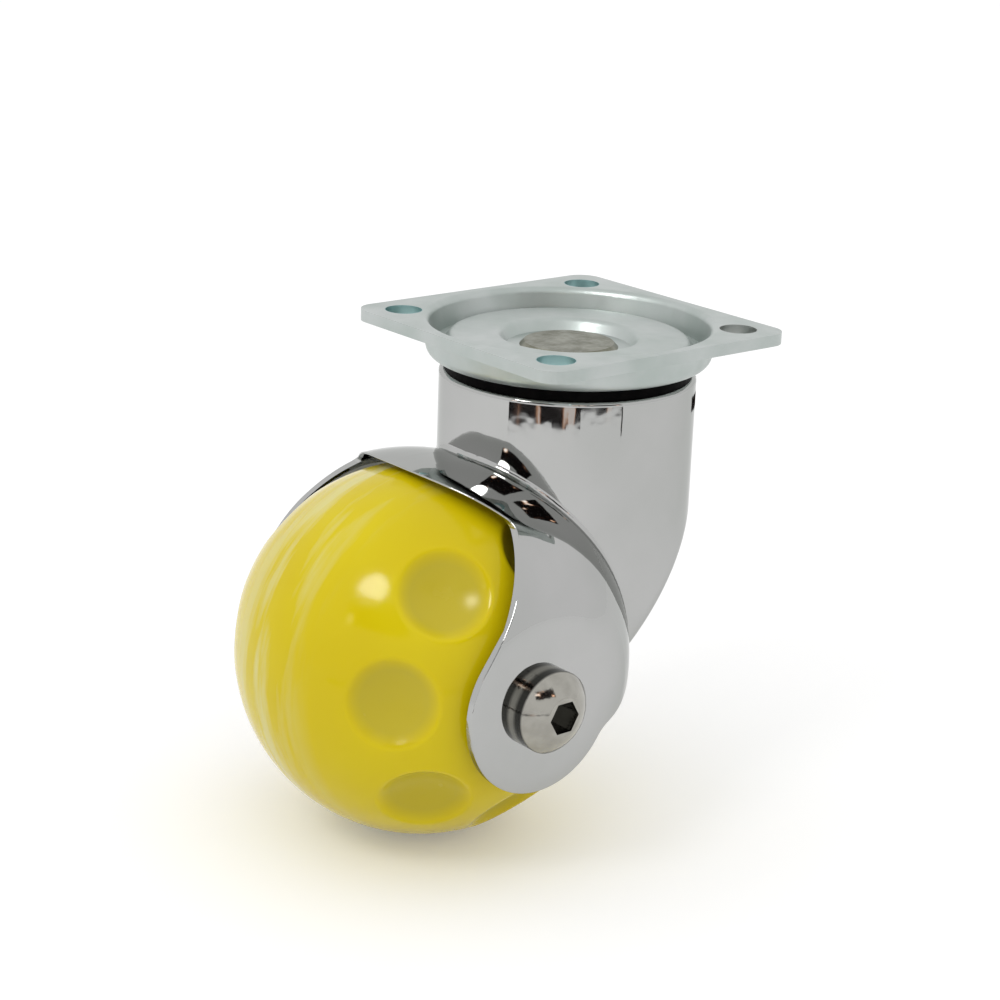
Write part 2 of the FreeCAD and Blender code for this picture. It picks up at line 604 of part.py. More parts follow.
def make_ball():
    flat = f"sqrt(ball_radius^2 - {BALL_FLAT}^2)"
    seat = "bearing_radius + seat_clearance"
    body = turned("ball", [
        ("hub_bore", f"-{BEARING_IN}"),
        (seat, f"-{BEARING_IN}"),
        (seat, f"-{BALL_FLAT}"),
        (flat, f"-{BALL_FLAT}"),
        (f"~{flat}", BALL_FLAT),
        (seat, BALL_FLAT),
        (seat, BEARING_IN),
        ("hub_bore", BEARING_IN),
    ], {3: (("0", "0"), 1)})

    floor = "(ball_radius - dimple_depth)"
    mouth = "(ball_radius + dimple_depth)"
    rim = "sqrt(ball_radius^2 - dimple_radius^2)"
    lean = f"(dimple_draft / ({rim} - {floor}))"
    slope = f"sqrt(1 + {lean}^2)"
    flat_edge = f"(dimple_radius - dimple_draft + dimple_round * ({lean} - {slope}))"
    wall_out = f"({floor} + dimple_round * (1 - {lean} / {slope}))"
    wall_aside = f"({flat_edge} + dimple_round / {slope})"
    flare = f"(dimple_radius + {lean} * ({mouth} - {rim}))"
    for side in (1, -1):
        polar = "(dimple_polar * 1deg)"

        def placed(out, aside):
            """A point of the dimple's own section: how far out along the dimple's axis, and aside from it."""
            return (f"{out} * sin({polar}) + {aside} * cos({polar})",
                    f"{side} * ({out} * cos({polar}) - {aside} * sin({polar}))")

        wall_foot = placed(wall_out, wall_aside)
        corners = [
            placed(floor, "0"),
            placed(floor, flat_edge),
            (wall_foot[0], f"~{wall_foot[1]}"),
            placed(mouth, flare),
            placed(mouth, "0"),
        ]
        name = "right_dimple" if side > 0 else "left_dimple"
        bend = {1: (placed(f"({floor} + dimple_round)", flat_edge), side)}
        section = outline(body, f"{name}_section", "XZ_Plane", corners, bend)
        axis = section.addGeometry(Part.LineSegment(V(0, 0, 0), plain_point(*corners[0])), True)
        section.addConstraint(Sketcher.Constraint("Coincident", axis, 1, -1, 1))
        section.addConstraint(Sketcher.Constraint("Coincident", axis, 2, 0, 1))
        polar_pattern(body, f"{name}s", revolve(body, name, section, "Groove", "Axis0"), "dimple_count")

    def is_lip(edge, faces):
        on_tread = any(isinstance(face.Surface, Part.Sphere) for face in faces)
        circle = isinstance(edge.Curve, Part.Circle)
        return on_tread and circle and abs(edge.Curve.Radius - number("dimple_radius")) < 1e-4

    round_edges(body, "dimple_lips", "dimple_lip", is_lip)
    return on_axle(body, -1, number("dimple_phase"))


# Axle: a tube tapped at both ends, and a button-head screw with a hexagon socket in each end

def make_axle_tube():
    thread = "thread_radius + seat_clearance"
    thread_end = f"({ARM_INSIDE} - thread_depth)"
    outside = "axle_radius - seat_clearance"
    return on_axle(turned("axle_tube", [
        ("tap_radius", f"-{thread_end}"),
        (thread, f"-{thread_end}"),
        (thread, f"-{ARM_INSIDE}"),
        (outside, f"-{ARM_INSIDE}"),
        (outside, ARM_INSIDE),
        (thread, ARM_INSIDE),
        (thread, thread_end),
        ("tap_radius", thread_end),
    ]), -1)


def make_axle_screw(hand, side):
    sag = "(screw_head^2 + screw_rim^2 - screw_top^2 - screw_rise^2) / (2 * (screw_rim - screw_rise))"
    dome = f"{ARM_SPAN} + {sag}"
    top = f"{ARM_SPAN} + screw_rise"
    body = turned(f"{hand}_axle_screw", [
        ("0", f"{ARM_SPAN} - screw_length"),
        ("thread_radius", f"{ARM_SPAN} - screw_length"),
        ("thread_radius", ARM_SPAN),
        ("screw_head", ARM_SPAN),
        ("screw_head", f"{ARM_SPAN} + screw_rim"),
        ("~screw_top", top),
        ("0", top),
    ], {4: (("0", dome), 1)})
    corners = []
    for index in range(6):
        turn = f"(60deg * {index})"
        corners.append((f"socket_flats / sqrt(3) * cos({turn})", f"socket_flats / sqrt(3) * sin({turn})"))
    hexagon = outline(body, f"{hand}_socket_outline", "XY_Plane", corners, offset=[("z", top)])
    pocket(body, f"{hand}_socket", hexagon, "socket_depth")
    return on_axle(body, side)


# Wheel bearings: rings, balls, cage and shields, a spacer between the two and a washer outside each

def make_bearing_spacer():
    bore = "axle_radius"
    return on_axle(turned("bearing_spacer", [
        (bore, f"-{BEARING_IN}"),
        (INNER_RING, f"-{BEARING_IN}"),
        (INNER_RING, BEARING_IN),
        (bore, BEARING_IN),
    ]), -1)


def make_ring(label, side, inside, outside, low, high):
    """A plain turned ring on the axle."""
    return on_axle(turned(label, [(inside, low), (outside, low), (outside, high), (inside, high)]), side)


def make_bearing(hand, side):
    inner = make_ring(f"{hand}_inner_ring", side, "axle_radius", INNER_RING, BEARING_IN, BEARING_OUT)
    outer = make_ring(f"{hand}_outer_ring", side, OUTER_RING, "bearing_radius", BEARING_IN, BEARING_OUT)
    for ring in (inner, outer):
        ball_track(ring, f"{ring.Label}_track", BEARING_PITCH, BEARING_MID, "bearing_ball")
    balls = on_axle(ball_ring(f"{hand}_bearing_balls", BEARING_PITCH, BEARING_MID, "bearing_ball",
                              "bearing_count"), side)
    cage = make_ring(f"{hand}_cage", side,
                     f"{BEARING_PITCH} - cage_thick / 2", f"{BEARING_PITCH} + cage_thick / 2",
                     f"{BEARING_MID} - cage_width / 2", f"{BEARING_MID} + cage_width / 2")
    hole = circle_sketch(cage, f"{hand}_pocket_circle", "YZ_Plane", "bearing_ball / 2 + ball_clearance",
                         ("0", BEARING_MID))
    cut = pocket(cage, f"{hand}_pocket", hole, "bearing_radius", towards=True)
    polar_pattern(cage, f"{hand}_pockets", cut, "bearing_count")
    shields = []
    for name, low, high in (
        ("outer", f"{BEARING_OUT} - shield_inset - shield_thick", f"{BEARING_OUT} - shield_inset"),
        ("inner", f"{BEARING_IN} + shield_inset", f"{BEARING_IN} + shield_inset + shield_thick"),
    ):
        shields.append(make_ring(f"{hand}_{name}_shield", side, f"{INNER_RING} + shield_gap",
                                 f"{OUTER_RING} - seat_clearance", low, high))
    return [inner, outer, balls, cage] + shields


# The whole caster, checked and written one file to a piece

pieces = [
    make_top_plate(),
    make_kingpin(),
    make_race_insert(),
    ball_ring("upper_swivel_balls", UPPER_PITCH, f"-{UPPER_DEPTH}", "upper_ball", "upper_count"),
    ball_ring("lower_swivel_balls", "lower_pitch", f"-{LOWER_DEPTH}", "lower_ball", "lower_count"),
    make_dust_seal(),
    make_fork_housing(),
    make_ball(),
    make_axle_tube(),
    make_bearing_spacer(),
]
for hand, side in SIDES:
    pieces.append(make_axle_screw(hand, side))
    pieces.append(make_ring(f"{hand}_axle_washer", side, "axle_radius", INNER_RING, BEARING_OUT, ARM_INSIDE))
    pieces.extend(make_bearing(hand, side))
doc.recompute()

for item in doc.Objects:
    if any(state in ("Invalid", "Error") for state in item.State):
        raise RuntimeError(f"{item.Label} failed: {item.State}")
for piece in pieces:
    if piece.Shape.isNull() or not piece.Shape.isValid():
        raise RuntimeError(f"{piece.Label} has no valid shape")

os.makedirs("parts", exist_ok=True)
for piece in pieces:
    piece.Shape.exportStep(f"parts/{piece.Label}.step")
    solids = len(piece.Shape.Solids)
    print(f"{piece.Label}: {solids} solid(s), {piece.Shape.Volume:.1f} mm3")
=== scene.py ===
import json
import math

import bpy
from mathutils import Matrix, Vector


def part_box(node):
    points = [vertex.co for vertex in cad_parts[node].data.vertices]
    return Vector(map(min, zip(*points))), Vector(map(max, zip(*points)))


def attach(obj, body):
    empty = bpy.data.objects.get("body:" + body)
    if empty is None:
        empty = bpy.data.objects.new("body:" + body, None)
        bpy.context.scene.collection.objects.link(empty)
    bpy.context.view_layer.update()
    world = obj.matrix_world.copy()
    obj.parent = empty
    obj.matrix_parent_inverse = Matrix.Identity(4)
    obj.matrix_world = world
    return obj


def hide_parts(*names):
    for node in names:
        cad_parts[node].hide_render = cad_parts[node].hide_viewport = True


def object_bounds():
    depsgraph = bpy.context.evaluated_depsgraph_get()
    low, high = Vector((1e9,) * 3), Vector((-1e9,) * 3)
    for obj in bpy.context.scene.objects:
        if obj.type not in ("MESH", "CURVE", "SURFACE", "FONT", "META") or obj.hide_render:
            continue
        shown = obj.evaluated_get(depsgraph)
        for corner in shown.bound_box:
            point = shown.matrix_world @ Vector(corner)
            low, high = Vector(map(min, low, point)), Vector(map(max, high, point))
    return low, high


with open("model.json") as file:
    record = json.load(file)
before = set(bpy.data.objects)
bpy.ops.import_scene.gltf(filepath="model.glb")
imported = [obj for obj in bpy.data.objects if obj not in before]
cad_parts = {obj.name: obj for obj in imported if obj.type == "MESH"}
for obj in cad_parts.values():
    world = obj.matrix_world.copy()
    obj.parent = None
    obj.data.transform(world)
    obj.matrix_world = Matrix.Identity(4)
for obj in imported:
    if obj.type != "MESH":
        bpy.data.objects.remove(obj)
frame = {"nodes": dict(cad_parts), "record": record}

cad_box = [list(corner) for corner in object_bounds()]
scene = bpy.context.scene
scene.view_settings.view_transform = "Standard"


# The camera. A long lens a little above the plate looks down on the ball and the near arm.
# The eye, the point at the middle of the picture and the roll were fitted to the photograph.
EYE = Vector((-0.20070, -0.22875, 0.07212))
AIM = Vector((-0.00025, 0.01304, -0.02915))
CAMERA_ROLL = math.radians(2.12)
LENS_MM = 83.23
SENSOR_MM = 36.0
NEAR_CLIP = 0.01

camera_data = bpy.data.cameras.new("camera")
camera_data.lens = LENS_MM
camera_data.sensor_width = SENSOR_MM
camera_data.clip_start = NEAR_CLIP
camera = bpy.data.objects.new("camera", camera_data)
look = (AIM - EYE).to_track_quat("-Z", "Y").to_matrix().to_4x4()
camera.matrix_world = Matrix.Translation(EYE) @ look @ Matrix.Rotation(CAMERA_ROLL, 4, "Z")
scene.collection.objects.link(camera)
scene.camera = camera


# The white sheet that the ball stands on. Matt paper, which takes the soft shadow of the caster.
# What the camera and the polish see of it is lifted to white, without more light on the caster.
SHEET_HALF = 1.6
SHEET_CORNERS = ((-1, -1), (1, -1), (1, 1), (-1, 1))
SHEET_WHITE = (0.86, 0.86, 0.86)
SHEET_LIFT = 0.20

floor_height = cad_box[0][2]


def add_mesh(name, points, faces):
    """A mesh object from points and faces, in metres."""
    mesh = bpy.data.meshes.new(name)
    mesh.from_pydata(points, [], faces)
    piece = bpy.data.objects.new(name, mesh)
    scene.collection.objects.link(piece)
    return piece


def put(tree, socket, value):
    """Links a socket to another, or sets its number or colour."""
    if isinstance(value, bpy.types.NodeSocket):
        tree.links.new(value, socket)
    elif isinstance(value, tuple) and len(value) == 3 and socket.type == "RGBA":
        socket.default_value = (*value, 1)
    else:
        socket.default_value = value


def maths(tree, operation, first, second=0.0):
    """One sum on two values."""
    node = tree.nodes.new("ShaderNodeMath")
    node.operation = operation
    put(tree, node.inputs[0], first)
    put(tree, node.inputs[1], second)
    return node.outputs[0]


def background_rays(tree):
    """One for the rays that show the white round the caster: the camera's, and those off polish or glass."""
    path = tree.nodes.new("ShaderNodeLightPath")
    seen = maths(tree, "MAXIMUM", path.outputs["Is Camera Ray"], path.outputs["Is Glossy Ray"])
    return maths(tree, "MAXIMUM", seen, path.outputs["Is Transmission Ray"])


def new_material(name):
    """An empty node material, with its tree and its output."""
    material = bpy.data.materials.new(name)
    material.use_nodes = True
    tree = material.node_tree
    tree.nodes.clear()
    output = tree.nodes.new("ShaderNodeOutputMaterial")
    return material, tree, output


sheet_points = [(x * SHEET_HALF, y * SHEET_HALF, floor_height) for x, y in SHEET_CORNERS]
sheet = add_mesh("sheet", sheet_points, [(0, 1, 2, 3)])
paper, tree, output = new_material("paper")
paper_diffuse = tree.nodes.new("ShaderNodeBsdfDiffuse")
put(tree, paper_diffuse.inputs["Color"], SHEET_WHITE)
paper_glow = tree.nodes.new("ShaderNodeEmission")
put(tree, paper_glow.inputs["Strength"], maths(tree, "MULTIPLY", background_rays(tree), SHEET_LIFT))
paper_both = tree.nodes.new("ShaderNodeAddShader")
put(tree, paper_both.inputs[0], paper_diffuse.outputs[0])
put(tree, paper_both.inputs[1], paper_glow.outputs[0])
put(tree, output.inputs["Surface"], paper_both.outputs[0])
sheet.data.materials.append(paper)


# The white walls of the light tent, as the world: white where the camera or a polished face sees them,
# and as light on matt faces dimmer, most of it from overhead.
WALL_COLOUR = (1.0, 1.0, 1.0)
WALL_WHITE = 1.0
WALL_LIGHT_LOW = 0.60
WALL_LIGHT_HIGH = 1.15


def parts_of(tree, vector):
    """The X, Y and Z of a vector."""
    node = tree.nodes.new("ShaderNodeSeparateXYZ")
    put(tree, node.inputs[0], vector)
    return node.outputs


world = bpy.data.worlds.new("tent")
scene.world = world
world.use_nodes = True
tree = world.node_tree
tree.nodes.clear()
world_output = tree.nodes.new("ShaderNodeOutputWorld")
world_light = tree.nodes.new("ShaderNodeBackground")
put(tree, world_light.inputs["Color"], WALL_COLOUR)
wall_place = tree.nodes.new("ShaderNodeTexCoord")
overhead = maths(tree, "MAXIMUM", parts_of(tree, wall_place.outputs["Generated"])["Z"], 0.0)
wall_light = maths(tree, "MULTIPLY", overhead, WALL_LIGHT_HIGH - WALL_LIGHT_LOW)
wall_light = maths(tree, "ADD", wall_light, WALL_LIGHT_LOW)
wall_rays = background_rays(tree)
matt_light = maths(tree, "MULTIPLY", maths(tree, "SUBTRACT", 1.0, wall_rays), wall_light)
seen_white = maths(tree, "MULTIPLY", wall_rays, WALL_WHITE)
put(tree, world_light.inputs["Strength"], maths(tree, "ADD", seen_white, matt_light))
put(tree, world_output.inputs["Surface"], world_light.outputs[0])


# The lamp: a round soft box up on the left, which gives the ball its two round highlights.
# Its face is a bright card as well, which shows in reflections only.
LAMP_TOWARDS = Vector((-0.66, -0.09, 0.75))
LAMP_DISTANCE = 0.55
LAMP_SIZE = 0.17
LAMP_WATTS = 0.35
FACE_CORNERS = 48
FACE_BRIGHT = 15.0

ball_low, ball_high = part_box("ball")
ball_centre = (ball_low + ball_high) / 2
lamp_data = bpy.data.lights.new("soft_box", "AREA")
lamp_data.shape = "DISK"
lamp_data.size = LAMP_SIZE
lamp_data.energy = LAMP_WATTS
lamp = bpy.data.objects.new("soft_box", lamp_data)
lamp.location = ball_centre + LAMP_DISTANCE * LAMP_TOWARDS.normalized()
lamp.rotation_euler = (-LAMP_TOWARDS).to_track_quat("-Z", "Y").to_euler()
scene.collection.objects.link(lamp)


def reflections_only(card):
    """Leaves a card to be seen in glossy faces, and nowhere else."""
    card.visible_camera = False
    card.visible_diffuse = False
    card.visible_shadow = False
    card.visible_transmission = False


face_points = []
for corner in range(FACE_CORNERS):
    turn = 2 * math.pi * corner / FACE_CORNERS
    flat = Vector((math.cos(turn), math.sin(turn), 0)) * LAMP_SIZE / 2
    face_points.append(lamp.location + lamp.rotation_euler.to_matrix() @ flat)
lamp_face = add_mesh("soft_box_face", face_points, [tuple(range(FACE_CORNERS))])
glowing, tree, output = new_material("soft_box_face")
face_light = tree.nodes.new("ShaderNodeEmission")
put(tree, face_light.inputs["Strength"], FACE_BRIGHT)
put(tree, output.inputs["Surface"], face_light.outputs[0])
lamp_face.data.materials.append(glowing)
reflections_only(lamp_face)


# The front of the tent: dark cards with a few bright spots, which show in polished faces only. They stand in
# the opening that the camera looks in by, in a slot at the front edge of the sheet with a fold at each end,
# and in a seam behind. Turns are in degrees from the camera's side, and heights are over the sheet.
FRONT_RADIUS = 0.196
OPENING_SPANS = ((-49, -10), (6, 49))
OPENING_FOOT = 0.110
OPENING_TOP = 0.186
SLOT_TURNS = (-49, 49)
SLOT_FEET = ((-49, 0.0063), (-11, 0.0050), (1, 0.0063), (13, 0.0086))
SLOT_TOP = 0.0125
FOLDS = ((-49, 0.0056), (48, 0.0036))
SEAM_TURNS = (145, 180)
SEAM_FOOT = 0.0030
SEAM_TOP = 0.0065
CARD_SCALE = 30
CARD_DETAIL = 2.0
CARD_COLOURS = ((0.55, (0.012, 0.009, 0.009)), (0.60, (0.10, 0.045, 0.03)),
                (0.64, (0.72, 0.40, 0.25)), (0.68, (0.95, 0.85, 0.80)))
SPOT_FROM = 0.62
SPOT_BRIGHT = 5.0

towards_camera = math.degrees(math.atan2(EYE.y, EYE.x))
card_points = []
card_faces = []


def round_the_axis(turn, height):
    """A point on the front's arc, over the sheet."""
    angle = math.radians(towards_camera + turn)
    return (FRONT_RADIUS * math.cos(angle), FRONT_RADIUS * math.sin(angle), floor_height + height)


def add_arc(first, last, foot_at, top):
    """A standing arc of card, one face to a degree."""
    for turn in range(first, last):
        foot = foot_at(turn)
        start = len(card_points)
        card_points.extend((round_the_axis(turn, foot), round_the_axis(turn + 1, foot),
                            round_the_axis(turn + 1, top), round_the_axis(turn, top)))
        card_faces.append((start, start + 1, start + 2, start + 3))


def slot_foot(turn):
    """The height of what stands in the slot."""
    return [height for start, height in SLOT_FEET if start <= turn][-1]


for first_turn, last_turn in OPENING_SPANS:
    add_arc(first_turn, last_turn, lambda turn: OPENING_FOOT, OPENING_TOP)
add_arc(*SLOT_TURNS, slot_foot, SLOT_TOP)
for fold_turn, fold_foot in FOLDS:
    add_arc(fold_turn, fold_turn + 1, lambda turn: fold_foot, SLOT_TOP)
add_arc(*SEAM_TURNS, lambda turn: SEAM_FOOT, SEAM_TOP)


def noise(tree, vector, scale, detail=4.0):
    """Cloudy variation, in waves to the unit of the vector."""
    texture = tree.nodes.new("ShaderNodeTexNoise")
    put(tree, texture.inputs["Scale"], scale)
    put(tree, texture.inputs["Detail"], detail)
    put(tree, texture.inputs["Vector"], vector)
    return texture.outputs["Fac"]


def ramp(tree, value, stops):
    """Colours along a value: (position, colour) pairs."""
    band = tree.nodes.new("ShaderNodeValToRGB")
    elements = band.color_ramp.elements
    while len(elements) < len(stops):
        elements.new(0.5)
    for element, (position, colour) in zip(elements, stops):
        element.position = position
        element.color = (*colour, 1)
    put(tree, band.inputs["Fac"], value)
    return band.outputs["Color"]


tent_front = add_mesh("tent_front", card_points, card_faces)
dark_card, tree, output = new_material("dark_card")
card_place = tree.nodes.new("ShaderNodeTexCoord").outputs["Object"]
card_light = tree.nodes.new("ShaderNodeEmission")
card_cloud = noise(tree, card_place, CARD_SCALE, CARD_DETAIL)
put(tree, card_light.inputs["Color"], ramp(tree, card_cloud, CARD_COLOURS))
in_opening = maths(tree, "GREATER_THAN", parts_of(tree, card_place)["Z"], floor_height + SLOT_TOP)
spots = maths(tree, "MULTIPLY", maths(tree, "GREATER_THAN", card_cloud, SPOT_FROM), in_opening)
spot_light = maths(tree, "MULTIPLY", spots, SPOT_BRIGHT - 1)
put(tree, card_light.inputs["Strength"], maths(tree, "ADD", spot_light, 1.0))
put(tree, output.inputs["Surface"], card_light.outputs[0])
tent_front.data.materials.append(dark_card)
reflections_only(tent_front)


# Top plate: steel sheet, pressed with a ring groove and a recess, with four punched holes.
# Bright zinc plating, a little satin, whose blue and green passivation has pooled in the holes.
PLATE_DARK = (0.41, 0.455, 0.435)
PLATE_LIGHT = (0.49, 0.52, 0.51)
HOLE_TEAL = (0.31, 0.47, 0.47)
HOLE_OLIVE = (0.34, 0.36, 0.345)
HOLE_EDGE_MM = 0.12
MM_PER_METRE = 1000.0
CLOUD_SPAN = (0.36, 0.64)
GLOSS_SPAN = (0.3, 0.7)
GLOSS_FINER = 3.0
RELIEF_DETAIL = 2.0

nodes_of = frame["nodes"]


def span(tree, value, low, high, to_low, to_high):
    """A value carried from one range to another."""
    carried = tree.nodes.new("ShaderNodeMapRange")
    for socket, number in (("From Min", low), ("From Max", high), ("To Min", to_low), ("To Max", to_high)):
        put(tree, carried.inputs[socket], number)
    put(tree, carried.inputs["Value"], value)
    return carried.outputs["Result"]


def mix(tree, share, first, second):
    """One colour laid over another."""
    node = tree.nodes.new("ShaderNodeMix")
    node.data_type = "RGBA"
    colours = [socket for socket in node.inputs if socket.type == "RGBA"]
    put(tree, node.inputs["Factor"], share)
    put(tree, colours[0], first)
    put(tree, colours[1], second)
    return next(socket for socket in node.outputs if socket.type == "RGBA")


def position_mm(tree):
    """The place on the part, in millimetres."""
    place = tree.nodes.new("ShaderNodeTexCoord")
    millimetres = tree.nodes.new("ShaderNodeVectorMath")
    millimetres.operation = "SCALE"
    put(tree, millimetres.inputs["Scale"], MM_PER_METRE)
    put(tree, millimetres.inputs[0], place.outputs["Object"])
    return millimetres.outputs[0]


def mottle_group():
    """Cloudy colour, uneven gloss and a fine relief, with scales in waves to the millimetre."""
    group = bpy.data.node_groups.new("mottle", "ShaderNodeTree")
    number, colour, vector = "NodeSocketFloat", "NodeSocketColor", "NodeSocketVector"
    for name, kind in (("Cloud Scale", number), ("Dark", colour), ("Light", colour), ("Smooth", number),
                       ("Rough", number), ("Relief Scale", number), ("Relief Depth", number)):
        group.interface.new_socket(name, in_out="INPUT", socket_type=kind)
    for name, kind in (("Color", colour), ("Roughness", number), ("Normal", vector)):
        group.interface.new_socket(name, in_out="OUTPUT", socket_type=kind)
    given = group.nodes.new("NodeGroupInput").outputs
    result = group.nodes.new("NodeGroupOutput").inputs
    place = position_mm(group)
    cloud = span(group, noise(group, place, given["Cloud Scale"]), *CLOUD_SPAN, 0.0, 1.0)
    put(group, result["Color"], mix(group, cloud, given["Dark"], given["Light"]))
    gloss = noise(group, place, maths(group, "MULTIPLY", given["Cloud Scale"], GLOSS_FINER))
    put(group, result["Roughness"], span(group, gloss, *GLOSS_SPAN, given["Smooth"], given["Rough"]))
    relief = group.nodes.new("ShaderNodeBump")
    put(group, relief.inputs["Distance"], given["Relief Depth"])
    put(group, relief.inputs["Height"], noise(group, place, given["Relief Scale"], RELIEF_DETAIL))
    put(group, result["Normal"], relief.outputs["Normal"])
    return group


MOTTLE = mottle_group()


def mottled(name, metallic, **values):
    """A material with the mottle on it: the material, its tree, its shader and the mottle's colour."""
    material, tree, output = new_material(name)
    skin = tree.nodes.new("ShaderNodeBsdfPrincipled")
    put(tree, skin.inputs["Metallic"], metallic)
    mottle = tree.nodes.new("ShaderNodeGroup")
    mottle.node_tree = MOTTLE
    for word, value in values.items():
        put(tree, mottle.inputs[word.replace("_", " ").title()], value)
    put(tree, skin.inputs["Base Color"], mottle.outputs["Color"])
    put(tree, skin.inputs["Roughness"], mottle.outputs["Roughness"])
    put(tree, skin.inputs["Normal"], mottle.outputs["Normal"])
    put(tree, output.inputs["Surface"], skin.outputs[0])
    return material, tree, skin, mottle.outputs["Color"]


def wear(material, *node_names):
    """Puts a material on nodes of the frame."""
    for node_name in node_names:
        for slot in nodes_of[node_name].material_slots:
            slot.material = material


zinc, tree, zinc_skin, zinc_colour = mottled(
    "zinc_plating", 1.0, cloud_scale=0.10, dark=PLATE_DARK, light=PLATE_LIGHT, smooth=0.34, rough=0.46,
    relief_scale=1.2, relief_depth=0.000006)
bolts = next(mount["dims"] for mount in frame["record"]["mounts"] if mount["name"] == "plate_bolts")
half_x = bolts["spacing_x_mm"] / 2
half_y = bolts["spacing_y_mm"] / 2
hole_radius = bolts["hole_r_mm"]
place = parts_of(tree, position_mm(tree))
across = maths(tree, "SUBTRACT", maths(tree, "ABSOLUTE", place["X"]), half_x)
along = maths(tree, "SUBTRACT", maths(tree, "ABSOLUTE", place["Y"]), half_y)
squares = maths(tree, "ADD", maths(tree, "MULTIPLY", across, across), maths(tree, "MULTIPLY", along, along))
from_hole = maths(tree, "SQRT", squares)
in_hole = span(tree, from_hole, hole_radius, hole_radius + HOLE_EDGE_MM, 1.0, 0.0)
at_dull_hole = maths(tree, "GREATER_THAN", maths(tree, "SUBTRACT", place["X"], place["Y"]), half_x)
hole_colour = mix(tree, at_dull_hole, HOLE_TEAL, HOLE_OLIVE)
put(tree, zinc_skin.inputs["Base Color"], mix(tree, in_hole, zinc_colour, hole_colour))
wear(zinc, "top_plate")


# Kingpin: a turned steel pin, its upper end peened over in the plate's recess.
# Its colour is darker and browner than the plate's: painted shade for where it sits down in the recess.
PIN_PAINTED_SHADE_DARK = (0.13, 0.13, 0.09)
PIN_PAINTED_SHADE_LIGHT = (0.25, 0.25, 0.205)

pin_steel = mottled(
    "pin_steel", 1.0, cloud_scale=0.35, dark=PIN_PAINTED_SHADE_DARK, light=PIN_PAINTED_SHADE_LIGHT, smooth=0.28, rough=0.42,
    relief_scale=1.5, relief_depth=0.00006)[0]
wear(pin_steel, "kingpin")


# Swivel bearing: a turned race insert pressed into the neck, with a ring of loose steel balls above it
# and another below. Ground steel, out of sight under the dust seal.
RACE_DARK = (0.44, 0.44, 0.45)
RACE_LIGHT = (0.55, 0.55, 0.56)

race_steel = mottled(
    "race_steel", 1.0, cloud_scale=0.8, dark=RACE_DARK, light=RACE_LIGHT, smooth=0.2, rough=0.3,
    relief_scale=3.0, relief_depth=0.00001)[0]
wear(race_steel, "race_insert", "upper_swivel_balls", "lower_swivel_balls")


# Dust seal: a black moulded ring on the neck, which closes the gap under the plate's pressing.
# Black nylon with a dull moulded skin, its colour taken down near to nothing as painted shade for the gap
# under the plate.
SEAL_SHADE_DARK = (0.0015, 0.0015, 0.0015)
SEAL_SHADE_LIGHT = (0.004, 0.0035, 0.0035)
SEAL_SHEEN = 0.012

# Painted shade: the ring's near-black colour stands for the dark gap under the plate's pressing.
black_nylon, tree, nylon_skin = mottled(
    "black_nylon", 0.0, cloud_scale=0.8, dark=SEAL_SHADE_DARK, light=SEAL_SHADE_LIGHT, smooth=0.35, rough=0.5,
    relief_scale=2.0, relief_depth=0.00002)[:3]
put(tree, nylon_skin.inputs["Specular IOR Level"], SEAL_SHEEN)
wear(black_nylon, "dust_seal")


# Fork housing: one zinc die casting with the neck, the hood and the two arms.
# Polished and chromed, with the faint waviness that polishing leaves.
CHROME_DARK = (0.41, 0.415, 0.405)
CHROME_LIGHT = (0.45, 0.45, 0.445)
CHROME_EDGE = (0.75, 0.76, 0.75)

chrome, tree, chrome_skin = mottled(
    "chrome", 1.0, cloud_scale=0.05, dark=CHROME_DARK, light=CHROME_LIGHT, smooth=0.02, rough=0.06,
    relief_scale=0.22, relief_depth=0.00003)[:3]
put(tree, chrome_skin.inputs["Specular Tint"], CHROME_EDGE)
wear(chrome, "fork_housing")


# Ball: one urethane moulding, yellow and glossy, with a ring of blind dimples on each side, smooth as bowls.
# Cream wisps of resin run round its middle, where the mould was filled. It turns on two bearings in its hub.
BALL_TURNS = 420
BALL_RINGS = 210
BALL_EDGE = math.radians(30)
HUB_BORE = 0.0060
DIMPLE_COUNT = 7
DIMPLE_POLAR = math.radians(45.8)
DIMPLE_PHASE = math.radians(175)
DIMPLE_MOUTH = 0.0059
DIMPLE_DEPTH = 0.0028
DIMPLE_LIP = 0.0005

ball_radius = (ball_high.z - ball_low.z) / 2
ball_flat = ball_high.y
flat_latitude = math.asin(ball_flat / ball_radius)
bearing_low, bearing_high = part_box("right_outer_ring")
seat_radius = (bearing_high.x - bearing_low.x) / 2
seat_floor = -bearing_high.y
bowl_sag = math.sqrt(ball_radius**2 - DIMPLE_MOUTH**2) - (ball_radius - DIMPLE_DEPTH)
bowl_radius = (DIMPLE_MOUTH**2 + bowl_sag**2) / (2 * bowl_sag)
bowl_centre = ball_radius - DIMPLE_DEPTH + bowl_radius


def tread_radius(latitude, turn):
    """The ball's radius in a direction: a bowl where a dimple is, with a rounded lip to the tread."""
    step = 2 * math.pi / DIMPLE_COUNT
    apart = (turn - DIMPLE_PHASE + step / 2) % step - step / 2
    polar = math.pi / 2 - abs(latitude)
    level_share = math.sin(polar) * math.sin(DIMPLE_POLAR) * math.cos(apart)
    cosine = math.cos(polar) * math.cos(DIMPLE_POLAR) + level_share
    inside = bowl_radius**2 - bowl_centre**2 * (1 - cosine**2)
    if inside <= 0:
        return ball_radius
    bowl = bowl_centre * cosine - math.sqrt(inside)
    blend = max(DIMPLE_LIP - abs(ball_radius - bowl), 0) / DIMPLE_LIP
    return min(ball_radius, bowl) - DIMPLE_LIP * blend**2 / 4


def round_the_axle(turn, level, side):
    """A point of the ball, so far out from its axle and so far along it."""
    return ball_centre + Vector((level * math.cos(turn), side, level * math.sin(turn)))


